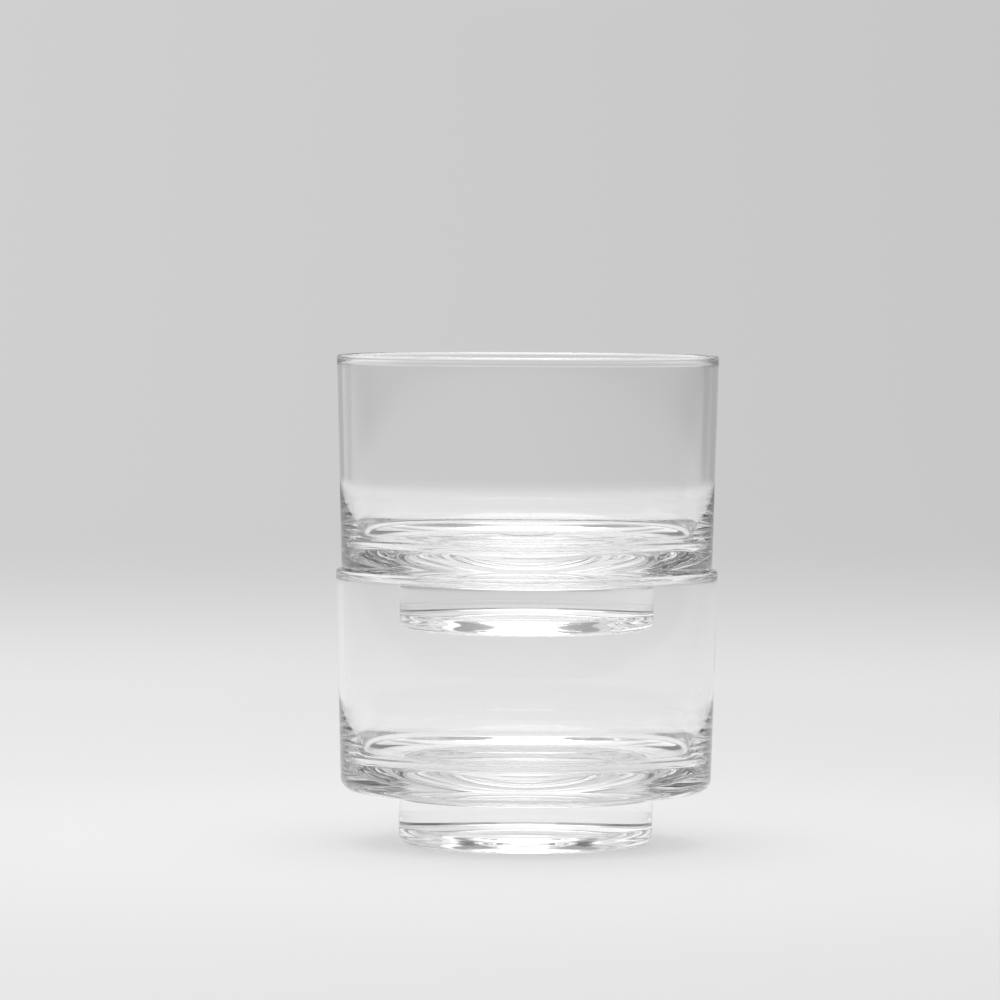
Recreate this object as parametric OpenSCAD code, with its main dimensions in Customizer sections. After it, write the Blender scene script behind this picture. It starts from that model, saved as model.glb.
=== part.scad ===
// Two alike stacking glasses of clear pressed glass, one seated in the other's mouth.
// Each is a single turned shape: a thin bowl with a beaded lip and a dished floor, a thick base
// with a stepped shoulder, and a narrower foot that is hollowed underneath.
// The axis is Z. The lower foot stands on z = 0, and the origin is the centre of that foot.

/* [Bowl] */
// Outer radius at the lip
lip_radius = 39; // [35:0.5:44]
// Height of one glass
glass_height = 56.2; // [48:0.1:70]
// Thickness of the wall
wall = 1.15; // [0.8:0.05:1.5]
// Radius of the wide curve by which the wall thickens towards the floor
swell_curve = 50; // [30:5:90]
// Angle that the wide curve turns through
swell_turn = 12; // [3:1:15]
// Radius of the tighter curve that follows it into the floor
floor_curve = 4.4; // [2:0.1:7]
// Height of the level that the tighter curve would reach if the floor were flat
floor_height = 16.8; // [16:0.1:22]
// Angle at which the dished floor falls away from that curve
dish_turn = 21; // [6:1:24]

/* [Lip] */
// Width by which the rounded bead at the lip is thicker than the wall
bead_extra = 0.2; // [0.05:0.05:1.5]
// Radius of the curve that carries the bead into the wall
bead_curve = 5; // [1:0.5:8]

/* [Base] */
// Width by which the base is narrower than the lip, on each side
base_inset = 1.1; // [0.5:0.05:1.8]
// Radius of the shoulder's outer corner
shoulder_round = 2.6; // [1:0.1:3.5]
// Height at which the shoulder meets the foot
shoulder_height = 10.3; // [8:0.1:12]
// Angle by which the shoulder climbs from the foot to its corner
shoulder_tilt = 4.5; // [0:0.5:10]

/* [Foot] */
// Radius of the foot
foot_radius = 26; // [22:0.5:30]
// Radius of the foot's lower edge
foot_round = 2.5; // [0.4:0.1:3]
// Radius of the curve between the foot and the shoulder
neck_curve = 1; // [0.4:0.1:2]
// Width of the flat ring that the glass stands on
ring_width = 2.5; // [1:0.1:5]
// Radius of the curve by which the hollow under the foot rises from that ring
punt_curve = 3.4; // [1:0.1:4]
// Height by which the hollow's roof goes on rising to its middle
punt_rise = 1.6; // [0.5:0.1:3]

/* [Stack] */
// Clearance between a seated shoulder and the lip below it
seat_gap = 0.3; // [0.05:0.01:0.3]

/* [Hidden] */
$fn = 180;
glass_colour = [0.88, 0.91, 0.91, 0.45];

// A point at a distance and an angle from another
function polar(centre, radius, angle) = centre + radius * [cos(angle), sin(angle)];

// Centres of the two outer rounds, at the lip and at the shoulder's corner
lip_round = (wall + bead_extra) / 2;
lip_centre = [lip_radius - lip_round, glass_height - lip_round];
corner_r = lip_radius - base_inset - shoulder_round;
corner_rise = (corner_r + shoulder_round * sin(shoulder_tilt) - foot_radius) * tan(shoulder_tilt);
corner_centre = [corner_r, shoulder_height + corner_rise + shoulder_round * cos(shoulder_tilt)];
corner_start = polar(corner_centre, shoulder_round, shoulder_tilt - 90);

// The outside of the wall is the line that touches both rounds
wall_run = lip_centre - corner_centre;
wall_face = atan2(wall_run.y, wall_run.x) - acos((shoulder_round - lip_round) / norm(wall_run));
wall_foot = polar(corner_centre, shoulder_round, wall_face);
wall_head = polar(lip_centre, lip_round, wall_face);
across = [cos(wall_face), sin(wall_face)];
along = [-across.y, across.x];

// The curve under the bead touches the bead and the inside of the wall
bead_offset = wall + bead_curve - lip_round;
bead_drop = sqrt(pow(lip_round + bead_curve, 2) - pow(bead_offset, 2));
bead_centre = lip_centre - bead_offset * across - bead_drop * along;
bead_start = bead_centre + bead_curve * across;
bead_end = lip_centre + lip_round * (bead_centre - lip_centre) / (lip_round + bead_curve);

// The wide curve touches the inside of the wall, and the tighter one touches its lower end
bowl_z = floor_height + floor_curve;
swell_end_face = wall_face - swell_turn;
swell_z = bowl_z - (swell_curve - floor_curve) * sin(swell_end_face);
swell_r = (across * wall_foot - wall - swell_curve - across.y * swell_z) / across.x;
swell_centre = [swell_r, swell_z];
swell_start = swell_centre + swell_curve * across;
swell_end = polar(swell_centre, swell_curve, swell_end_face);
swell_corner = polar(swell_centre, swell_curve / cos(swell_turn / 2), wall_face - swell_turn / 2);
bowl_centre = polar(swell_centre, swell_curve - floor_curve, swell_end_face);

// The dished floor is part of a sphere that touches the tighter curve all round
dish_edge = polar(bowl_centre, floor_curve, dish_turn - 90);
dish_ball = dish_edge.x / sin(dish_turn);
dish_centre = [0, dish_edge.y + dish_ball * cos(dish_turn)];
dish_corner = [0, dish_centre.y - dish_ball / cos(dish_turn)];

// The curve at the neck touches the foot and the shoulder
neck_z = shoulder_height + neck_curve * tan(shoulder_tilt) - neck_curve / cos(shoulder_tilt);
neck_centre = [foot_radius + neck_curve, neck_z];
neck_end = polar(neck_centre, neck_curve, shoulder_tilt + 90);

// The hollow under the foot starts inside the flat ring, and its roof is part of a sphere that
// touches the hollow's curve all round
foot_centre = [foot_radius - foot_round, foot_round];
punt_centre = [foot_centre.x - ring_width - punt_curve, 0];
punt_top = [0, punt_curve + punt_rise];
roof_ball = (pow(norm(punt_centre - punt_top), 2) - pow(punt_curve, 2)) / (2 * punt_rise);
roof_centre = [0, punt_top.y - roof_ball];
roof_edge = roof_centre + roof_ball * (punt_centre - roof_centre) / (roof_ball - punt_curve);
roof_corner = [0, roof_centre.y + pow(roof_ball, 2) / (roof_edge.y - roof_centre.y)];
punt_corners = [[0, -punt_curve], [punt_centre.x, -punt_curve], roof_edge, punt_top];

// A seated glass stands with its shoulder's corner on the bead of the lip below
seat_run = lip_centre.x - corner_centre.x;
seat_rise = sqrt(pow(lip_round + shoulder_round + seat_gap, 2) - pow(seat_run, 2));
stack_pitch = lip_centre.y + seat_rise - corner_centre.y;

// Half of the glass cut through its axis, with straight chords where its rounds go
section_corners = [
    [0, 0],
    [foot_centre.x, 0],
    [foot_radius, foot_centre.y],
    [foot_radius, neck_centre.y],
    neck_end,
    corner_start,
    wall_foot,
    wall_head,
    lip_centre,
    bead_end,
    bead_start,
    swell_start,
    swell_end,
    dish_edge,
    [0, dish_edge.y]
];

module round_at(centre, radius) {
    translate(centre)
        circle(r = radius);
}

// The part of a disc between the ends of an arc and the corner where its end tangents meet
module arc_at(centre, radius, start, corner, end) {
    intersection() {
        round_at(centre, radius);
        polygon([start, corner, end]);
    }
}

module section() {
    difference() {
        union() {
            polygon(section_corners);
            round_at(foot_centre, foot_round);
            round_at(corner_centre, shoulder_round);
            round_at(lip_centre, lip_round);
        }
        round_at(neck_centre, neck_curve);
        round_at(bead_centre, bead_curve);
        arc_at(swell_centre, swell_curve, swell_start, swell_corner, swell_end);
        round_at(bowl_centre, floor_curve);
        arc_at(dish_centre, dish_ball, [-dish_edge.x, dish_edge.y], dish_corner, dish_edge);
        round_at(punt_centre, punt_curve);
        polygon(punt_corners);
        arc_at(roof_centre, roof_ball, [-roof_edge.x, roof_edge.y], roof_corner, roof_edge);
    }
}

module glass() {
    rotate_extrude()
        section();
}

module lower_glass() {
    color(glass_colour)
        glass();
}

module upper_glass() {
    color(glass_colour)
        translate([0, 0, stack_pitch])
            glass();
}

lower_glass();
upper_glass();
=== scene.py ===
import bpy
import bmesh
import math
from mathutils import Matrix, Vector


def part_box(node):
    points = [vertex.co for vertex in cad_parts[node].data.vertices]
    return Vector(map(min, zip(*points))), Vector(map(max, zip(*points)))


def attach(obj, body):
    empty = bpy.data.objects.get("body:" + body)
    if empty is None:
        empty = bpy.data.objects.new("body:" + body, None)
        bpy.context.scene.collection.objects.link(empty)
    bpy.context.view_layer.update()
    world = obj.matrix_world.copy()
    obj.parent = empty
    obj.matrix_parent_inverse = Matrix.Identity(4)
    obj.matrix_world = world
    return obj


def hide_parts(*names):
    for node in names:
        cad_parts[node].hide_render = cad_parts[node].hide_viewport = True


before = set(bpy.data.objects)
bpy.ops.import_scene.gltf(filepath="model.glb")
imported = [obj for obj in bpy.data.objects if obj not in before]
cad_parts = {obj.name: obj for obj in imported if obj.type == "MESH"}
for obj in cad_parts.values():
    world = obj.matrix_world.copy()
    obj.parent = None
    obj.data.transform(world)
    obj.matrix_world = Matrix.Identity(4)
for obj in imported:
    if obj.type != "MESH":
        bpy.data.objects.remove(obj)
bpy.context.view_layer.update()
mm = 0.001
fullTurn = 2 * math.pi
quarter = math.pi / 2
print("frame loaded:", sorted(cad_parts))


# a shader value that Python's operators work on; each one adds a Math node
class Value:
    def __init__(self, tree, socket):
        self.tree = tree
        self.socket = socket

    def maths(self, operation, *values):
        return self.tree.add("ShaderNodeMath", {"operation": operation}, dict(enumerate(values)))

    def __add__(self, other):
        return self.maths("ADD", self, other)

    def __sub__(self, other):
        return self.maths("SUBTRACT", self, other)

    def __mul__(self, other):
        return self.maths("MULTIPLY", self, other)

    def __truediv__(self, other):
        return self.maths("DIVIDE", self, other)

    def __rtruediv__(self, other):
        return self.maths("DIVIDE", other, self)

    def __radd__(self, other):
        return self.maths("ADD", other, self)

    def __rsub__(self, other):
        return self.maths("SUBTRACT", other, self)

    def __rmul__(self, other):
        return self.maths("MULTIPLY", other, self)

    def __abs__(self):
        return self.maths("ABSOLUTE", self)

    def top(self, other):
        return self.maths("MAXIMUM", self, other)

    def root(self):
        return self.maths("SQRT", self)

    def out(self, name):
        return Value(self.tree, self.socket.node.outputs[name])


# every node but the maths comes from add: its type, its settings, then its sockets
class Tree:
    def __init__(self, owner):
        owner.use_nodes = True
        self.nodes = owner.node_tree.nodes
        self.links = owner.node_tree.links
        self.nodes.clear()

    def add(self, kind, settings=None, sockets=None, output=0):
        node = self.nodes.new(kind)
        for name, setting in (settings or {}).items():
            if name == "stops":
                self.setStops(node.color_ramp.elements, setting)
            else:
                setattr(node, name, setting)
        for key, given in (sockets or {}).items():
            if isinstance(given, Value):
                self.links.new(given.socket, node.inputs[key])
            else:
                node.inputs[key].default_value = given
        return Value(self, node.outputs[output]) if len(node.outputs) else node

    # rises smoothly from 0 at low to 1 at high
    def fade(self, value, low, high):
        return self.add("ShaderNodeMapRange", {"interpolation_type": "SMOOTHSTEP"}, {
            "Value": value, "From Min": low, "From Max": high,
        })

    def setStops(self, elements, stops):
        while len(elements) < len(stops):
            elements.new(1)
        for element, (place, colour) in zip(elements, stops):
            element.position = place
            element.color = colour


def newMaterial(name):
    material = bpy.data.materials.new(name)
    return material, Tree(material)


def grey(tone):
    return (tone, tone, tone, 1)


# camera, at the photograph's eye level
cameraSet = {
    "distance": 1.25,
    "height": 118.2 * mm,
    "aside": -5.55 * mm,
    "tiltDown": 0.0383,
    "roll": 0.005,
    "lens": 220.4,
    "sensor": 36,
    "clipStart": 0.01,
    "clipEnd": 30,
}


def makeCamera(c):
    data = bpy.data.cameras.new("camera")
    data.lens = c["lens"]
    data.sensor_width = c["sensor"]
    data.clip_start = c["clipStart"]
    data.clip_end = c["clipEnd"]
    camera = bpy.data.objects.new("camera", data)
    place = Matrix.Translation((c["aside"], -c["distance"], c["height"]))
    tilt = Matrix.Rotation(quarter - c["tiltDown"], 4, "X")
    camera.matrix_world = place @ tilt @ Matrix.Rotation(c["roll"], 4, "Z")
    bpy.context.collection.objects.link(camera)
    bpy.context.scene.camera = camera


makeCamera(cameraSet)
print("camera set")


# a pen that draws half of a section in the XZ plane, stroke by stroke
class Pen:
    def __init__(self, start):
        self.bm = bmesh.new()
        self.tip = bmesh.ops.create_vert(self.bm, co=(start.x, 0, start.y))["vert"][0]

    def here(self):
        return Vector((self.tip.co.x, self.tip.co.z))

    def line(self, end, steps):
        step = (end - self.here()) / steps
        for count in range(steps):
            grown = bmesh.ops.extrude_vert_indiv(self.bm, verts=[self.tip])
            self.tip = grown["verts"][0]
            bmesh.ops.translate(self.bm, verts=[self.tip], vec=(step.x, 0, step.y))

    def arc(self, centre, turn, steps):
        grown = bmesh.ops.spin(
            self.bm, geom=[self.tip], cent=(centre.x, 0, centre.y), axis=(0, -1, 0),
            angle=turn, steps=steps,
        )
        self.tip = [v for v in grown["geom_last"] if isinstance(v, bmesh.types.BMVert)][0]


# a section turned about Z into a smooth mesh in metres
def turnMesh(name, bm, turns, unit, weld):
    bmesh.ops.spin(
        bm, geom=bm.verts[:] + bm.edges[:], cent=(0, 0, 0), axis=(0, 0, 1),
        angle=fullTurn, steps=turns, use_merge=True,
    )
    bmesh.ops.scale(bm, vec=(unit, unit, unit), verts=bm.verts)
    bmesh.ops.remove_doubles(bm, verts=bm.verts, dist=weld)
    bmesh.ops.dissolve_degenerate(bm, edges=bm.edges, dist=weld / 10)
    bmesh.ops.recalc_face_normals(bm, faces=bm.faces)
    for facet in bm.faces:
        facet.smooth = True
    mesh = bpy.data.meshes.new(name)
    bm.to_mesh(mesh)
    bm.free()
    return mesh


def polar(centre, radius, angle):
    return centre + radius * Vector((math.cos(angle), math.sin(angle)))


def angleOf(vector):
    return math.atan2(vector.y, vector.x)


# sizes of one glass in millimetres, as in the solid model; the last three are this mesh's own
glass = {
    "lipRadius": 39,
    "height": 56.2,
    "wall": 1.15,
    "floorHeight": 16.8,
    "swellCurve": 50,
    "swellTurn": math.radians(12),
    "floorCurve": 4.4,
    "dishTurn": math.radians(21),
    "bead": 1.35,
    "beadCurve": 5,
    "baseInset": 1.1,
    "shoulderRound": 2.6,
    "shoulderHeight": 10.3,
    "shoulderTilt": math.radians(4.5),
    "footRadius": 26,
    "footRound": 2.5,
    "neckCurve": 1,
    "ringWidth": 2.5,
    "puntCurve": 3.4,
    "puntRise": 1.6,
    "puntRound": 0.6,
    "turns": 256,
    "weld": 0.001,
}


def drawSection(g):
    lipRound = g["bead"] / 2
    lip = Vector((g["lipRadius"] - lipRound, g["height"] - lipRound))
    tilt = g["shoulderTilt"]
    cornerR = g["lipRadius"] - g["baseInset"] - g["shoulderRound"]
    rise = (cornerR + g["shoulderRound"] * math.sin(tilt) - g["footRadius"]) * math.tan(tilt)
    corner = Vector((cornerR, g["shoulderHeight"] + rise + g["shoulderRound"] * math.cos(tilt)))
    run = lip - corner
    face = angleOf(run) - math.acos((g["shoulderRound"] - lipRound) / run.length)
    across = polar(Vector((0, 0)), 1, face)
    along = Vector((-across.y, across.x))
    wallFoot = corner + g["shoulderRound"] * across

    # inside of the lip's bead
    offset = g["wall"] + g["beadCurve"] - lipRound
    drop = math.sqrt((lipRound + g["beadCurve"]) ** 2 - offset ** 2)
    hollow = lip - offset * across - drop * along
    toHollow = angleOf(hollow - lip) % fullTurn

    # inside of the bowl: a wide curve that thickens the wall, then a tight one into the floor
    swell, swellTurn = g["swellCurve"], g["swellTurn"]
    bowlZ = g["floorHeight"] + g["floorCurve"]
    slide = polar(Vector((0, 0)), swell - g["floorCurve"], face - swellTurn)
    swellZ = bowlZ - slide.y
    swellR = (across.dot(wallFoot) - g["wall"] - swell - across.y * swellZ) / across.x
    swellCentre = Vector((swellR, swellZ))
    bowl = swellCentre + slide

    # neck, foot, and the hollow under it: a domed roof, a curve down from it, a rounded edge
    neckZ = g["shoulderHeight"] + g["neckCurve"] * (math.tan(tilt) - 1 / math.cos(tilt))
    neck = Vector((g["footRadius"] + g["neckCurve"], neckZ))
    foot = Vector((g["footRadius"] - g["footRound"], g["footRound"]))
    punt = Vector((foot.x - g["ringWidth"] - g["puntCurve"], 0))
    top = Vector((0, g["puntCurve"] + g["puntRise"]))
    ball = ((punt - top).length_squared - g["puntCurve"] ** 2) / (2 * g["puntRise"])
    ballCentre = Vector((0, top.y - ball))
    roofAngle = angleOf(punt - ballCentre)
    edge = g["puntRound"]
    edgeAngle = math.asin(edge / (g["puntCurve"] + edge))

    # each stroke ends with its count of steps
    pen = Pen(top)
    pen.arc(ballCentre, roofAngle - quarter, 16)
    pen.arc(punt, edgeAngle - roofAngle, 16)
    pen.arc(polar(punt, g["puntCurve"] + edge, edgeAngle), quarter - edgeAngle, 6)
    pen.line(Vector((foot.x, 0)), 4)
    pen.arc(foot, quarter, 10)
    pen.line(Vector((g["footRadius"], neckZ)), 8)
    pen.arc(neck, tilt - quarter, 10)
    pen.line(polar(corner, g["shoulderRound"], tilt - quarter), 8)
    pen.arc(corner, face - tilt + quarter, 16)
    pen.line(lip + lipRound * across, 24)
    pen.arc(lip, toHollow - face, 28)
    pen.arc(hollow, face - toHollow + math.pi, 10)
    pen.line(swellCentre + swell * across, 20)
    pen.arc(swellCentre, -swellTurn, 20)
    pen.arc(bowl, swellTurn - face - quarter + g["dishTurn"], 24)
    dishEdge = pen.here()
    dishBall = dishEdge.x / math.sin(g["dishTurn"])
    pen.arc(Vector((0, dishEdge.y + dishBall * math.cos(g["dishTurn"]))), -g["dishTurn"], 24)
    return pen.bm


def makeGlass(name, node, turned, material):
    mesh = turned.copy()
    mesh.name = name
    mesh.transform(Matrix.Translation((0, 0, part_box(node)[0][2])))
    mesh.materials.append(material)
    piece = bpy.data.objects.new(name, mesh)
    bpy.context.collection.objects.link(piece)
    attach(piece, node)
    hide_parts(node)
    print(name, "made:", len(mesh.polygons), "faces")


# clear glass: a fine haze in patches, soft ripples, waves within waveEnd of the axis, pale shadows
glassLook = {
    "colour": (1, 1, 1, 1),
    "ior": 1.5,
    "haze": 0.012,
    "hazeFrom": 0.5,
    "hazeScale": 90,
    "rippleScale": 70,
    "rippleHeight": 0.01 * mm,
    "waveScale": 110,
    "waveHeight": 1.5,
    "waveFull": 28 * mm,
    "waveEnd": 34 * mm,
    "shadow": (0.93, 0.93, 0.93, 1),
}


def makeClearGlass(look):
    material, tree = newMaterial("clearGlass")
    place = tree.add("ShaderNodeTexCoord", None, None, "Object")

    def noise(scale, detail):
        return tree.add("ShaderNodeTexNoise", None, {"Vector": place, "Scale": scale, "Detail": detail})

    patches = noise(look["hazeScale"], 3)
    ripple = noise(look["rippleScale"], 1)
    waves = noise(look["waveScale"], 0)
    x = tree.add("ShaderNodeSeparateXYZ", None, {0: place})
    y = x.out("Y")
    inBase = 1 - tree.fade((x * x + y * y).root(), look["waveFull"], look["waveEnd"])
    bump = tree.add("ShaderNodeBump", None, {
        "Distance": look["rippleHeight"], "Height": ripple + inBase * waves * look["waveHeight"],
    })
    shader = tree.add("ShaderNodeBsdfPrincipled", None, {
        "Base Color": look["colour"],
        "Roughness": (patches - look["hazeFrom"]).top(0) * look["haze"],
        "IOR": look["ior"],
        "Transmission Weight": 1,
        "Normal": bump,
    })
    pale = tree.add("ShaderNodeBsdfTransparent", None, {"Color": look["shadow"]})
    light = tree.add("ShaderNodeLightPath")
    through = light.out("Is Shadow Ray").top(light.out("Is Diffuse Ray"))
    surface = tree.add("ShaderNodeMixShader", None, {0: through, 1: shader, 2: pale})
    tree.add("ShaderNodeOutputMaterial", None, {"Surface": surface})
    return material


clearGlass = makeClearGlass(glassLook)
turnedGlass = turnMesh("turnedGlass", drawSection(glass), glass["turns"], mm, glass["weld"] * mm)
makeGlass("lowerTumbler", "lower_glass", turnedGlass, clearGlass)
makeGlass("upperTumbler", "upper_glass", turnedGlass, clearGlass)


# paper sweep that the glasses stand on, round on plan so that every side has a background;
# each pair named Fade is where a change of tone starts and ends, and the rings hold the room's
# tones by bearing in degrees, near the table, above it and high up, as painted light and shade that the
# far paper glows with
sweep = {
    "flat": 1.7,
    "cove": 0.6,
    "wall": 1.2,
    "turns": 96,
    "weld": 0.1 * mm,
    "paper": 0.79,
    # painted pool of light: the paper's tone right by the glasses, which fades out to its own tone
    "paperPaintedPool": 0.83,
    "paintedPoolFade": (0.06, 0.22),
    "back": 0.6,
    "aheadShare": 0.25,
    "leastReach": 0.01,
    "nearFade": (0.37, 0.6),
    "strip": 0.32,
    "stripSoft": 0.03,
    "frontFade": (-0.3, 0),
    "roomFade": (1.3, 1.7),
    # painted side shade: the share by which the tone falls per metre towards the right
    "paintedSideShade": 0.16,
    "glowWide": 0.55,
    "glowHeight": 0.95,
    "glowTall": 0.7,
    "glowFade": (0, 0.6),
    "behindFade": (0, 1),
    "litFade": (0.2, 0.5),
    "ringFoot": (
        (-180, 0.1), (-125, 0.12), (-100, 0.25), (-66, 0.3), (-46, 0.58), (-30, 0.58), (-25, 0.39),
        (25, 0.46), (30, 0.5), (46, 0.5), (66, 0.3), (100, 0.25), (125, 0.12), (180, 0.1),
    ),
    "lowFade": (0.05, 0.1),
    "ringLow": (
        (-180, 0.08), (-95, 0.1), (-88, 0.15), (-32, 0.15), (-20, 0.39),
        (20, 0.42), (32, 0.15), (88, 0.15), (95, 0.1), (180, 0.08),
    ),
    "highFade": (0.45, 0.6),
    "ringHigh": (
        (-180, 0.06), (-92, 0.08), (-80, 0.92), (-45, 0.92), (-25, 0.85),
        (25, 0.85), (45, 0.92), (80, 0.92), (92, 0.08), (180, 0.06),
    ),
}


def makePaper(s):
    material, tree = newMaterial("paper")
    place = tree.add("ShaderNodeTexCoord", None, None, "Object")
    x = tree.add("ShaderNodeSeparateXYZ", None, {0: place})
    y, z = x.out("Y"), x.out("Z")

    fade = tree.fade
    reach = (x * x + y * y).root()
    ahead = s["aheadShare"]
    away = reach * (1 - ahead + ahead * y / reach.top(s["leastReach"])) + z
    far = 1 - fade(1 / (away + cameraSet["distance"]), *s["nearFade"])

    # tones of the room round the strip of paper, by bearing and then by height: the room's painted
    # light and shade
    bearing = x.maths("ARCTAN2", x, y) / fullTurn + 0.5

    def ringAt(stops):
        ring = tree.add("ShaderNodeValToRGB", {
            "stops": [(angle / 360 + 0.5, grey(tone)) for angle, tone in stops],
        }, {0: bearing})
        return tree.add("ShaderNodeSeparateColor", None, {0: ring})

    ringFoot, ringLow, ringHigh = (ringAt(s[name]) for name in ("ringFoot", "ringLow", "ringHigh"))
    ringTone = ringFoot + fade(z, *s["lowFade"]) * (ringLow - ringFoot)
    ringTone = ringTone + fade(z, *s["highFade"]) * (ringHigh - ringLow)
    beside = fade(abs(x), s["strip"] - s["stripSoft"], s["strip"] + s["stripSoft"])
    outside = beside.top(1 - fade(y, *s["frontFade"]))
    wallTone = s["back"] + outside * fade(reach, *s["roomFade"]) * (ringTone - s["back"])

    # a soft painted glow on the wall behind the glasses, which stands in for a lamp behind them
    glowAside, glowUp = x / s["glowWide"], (z - s["glowHeight"]) / s["glowTall"]
    inGlow = fade(1 - glowAside * glowAside - glowUp * glowUp, *s["glowFade"])
    wallTone = wallTone + inGlow * fade(y, *s["behindFade"]) * (1 - wallTone)

    # near the glasses the paper is lit by the lamp and is also painted lighter, a painted pool of
    # light, and further off it keeps its own tone
    paperWithPaintedPool = s["paperPaintedPool"] + fade(reach, *s["paintedPoolFade"]) * (s["paper"] - s["paperPaintedPool"])
    # painted shade: paper and wall are painted lighter to the left and darker to the right
    tone = (paperWithPaintedPool + far * (wallTone - paperWithPaintedPool)) * (1 - x * s["paintedSideShade"])
    colour = tree.add("ShaderNodeCombineColor", None, {0: tone, 1: tone, 2: tone})
    diffuse = tree.add("ShaderNodeBsdfDiffuse", None, {"Color": colour})
    glow = tree.add("ShaderNodeEmission", None, {"Color": colour, "Strength": 1})
    light = tree.add("ShaderNodeLightPath")
    seen = light.out("Is Camera Ray").top(light.out("Is Glossy Ray"))
    seen = seen.top(light.out("Is Transmission Ray")) * fade(reach, *s["litFade"])
    surface = tree.add("ShaderNodeMixShader", None, {0: seen, 1: diffuse, 2: glow})
    tree.add("ShaderNodeOutputMaterial", None, {"Surface": surface})
    return material


def makeSweep(s):
    pen = Pen(Vector((0, 0)))
    pen.line(Vector((s["flat"], 0)), 8)
    pen.arc(Vector((s["flat"], s["cove"])), quarter, 12)
    pen.line(Vector((s["flat"] + s["cove"], s["cove"] + s["wall"])), 2)
    mesh = turnMesh("sweep", pen.bm, s["turns"], 1, s["weld"])
    mesh.materials.append(makePaper(s))
    piece = bpy.data.objects.new("sweep", mesh)
    bpy.context.collection.objects.link(piece)


makeSweep(sweep)
print("sweep made")


# a softbox overhead
softbox = {
    "place": (-0.05, 0, 1.3),
    "aim": (-0.05, 0, 0),
    "width": 1.1,
    "depth": 1.1,
    "radiance": 2.95,
}


def makeSoftbox(s):
    data = bpy.data.lights.new("overhead", "AREA")
    data.shape = "RECTANGLE"
    data.size = s["width"]
    data.size_y = s["depth"]
    data.energy = math.pi * s["width"] * s["depth"] * s["radiance"]
    lamp = bpy.data.objects.new("overhead", data)
    lamp.location = s["place"]
    ray = Vector(s["aim"]) - Vector(s["place"])
    lamp.rotation_euler = ray.to_track_quat("-Z", "Y").to_euler()
    bpy.context.collection.objects.link(lamp)


# the rest of the room, which darkens to the sides
room = {"middle": 1, "sides": 0.3, "sideFade": (0.15, 0.6)}


def makeRoom(r):
    world = bpy.data.worlds.new("room")
    tree = Tree(world)
    way = tree.add("ShaderNodeTexCoord", None, None, "Generated")
    aside = abs(tree.add("ShaderNodeSeparateXYZ", None, {0: way}))
    tone = r["middle"] + tree.fade(aside, *r["sideFade"]) * (r["sides"] - r["middle"])
    colour = tree.add("ShaderNodeCombineColor", None, {0: tone, 1: tone, 2: tone})
    sky = tree.add("ShaderNodeBackground", None, {"Color": colour, "Strength": 1})
    tree.add("ShaderNodeOutputWorld", None, {"Surface": sky})
    bpy.context.scene.world = world


makeSoftbox(softbox)
makeRoom(room)
print("lights set")

# the limit on mirrored bounces darkens the corners of the bases, where light is trapped
scene = bpy.context.scene
scene.view_settings.view_transform = "Standard"
scene.cycles.max_bounces = 32
scene.cycles.transmission_bounces = 32
scene.cycles.glossy_bounces = 18
scene.cycles.transparent_max_bounces = 32
scene.cycles.caustics_refractive = False
scene.cycles.caustics_reflective = False
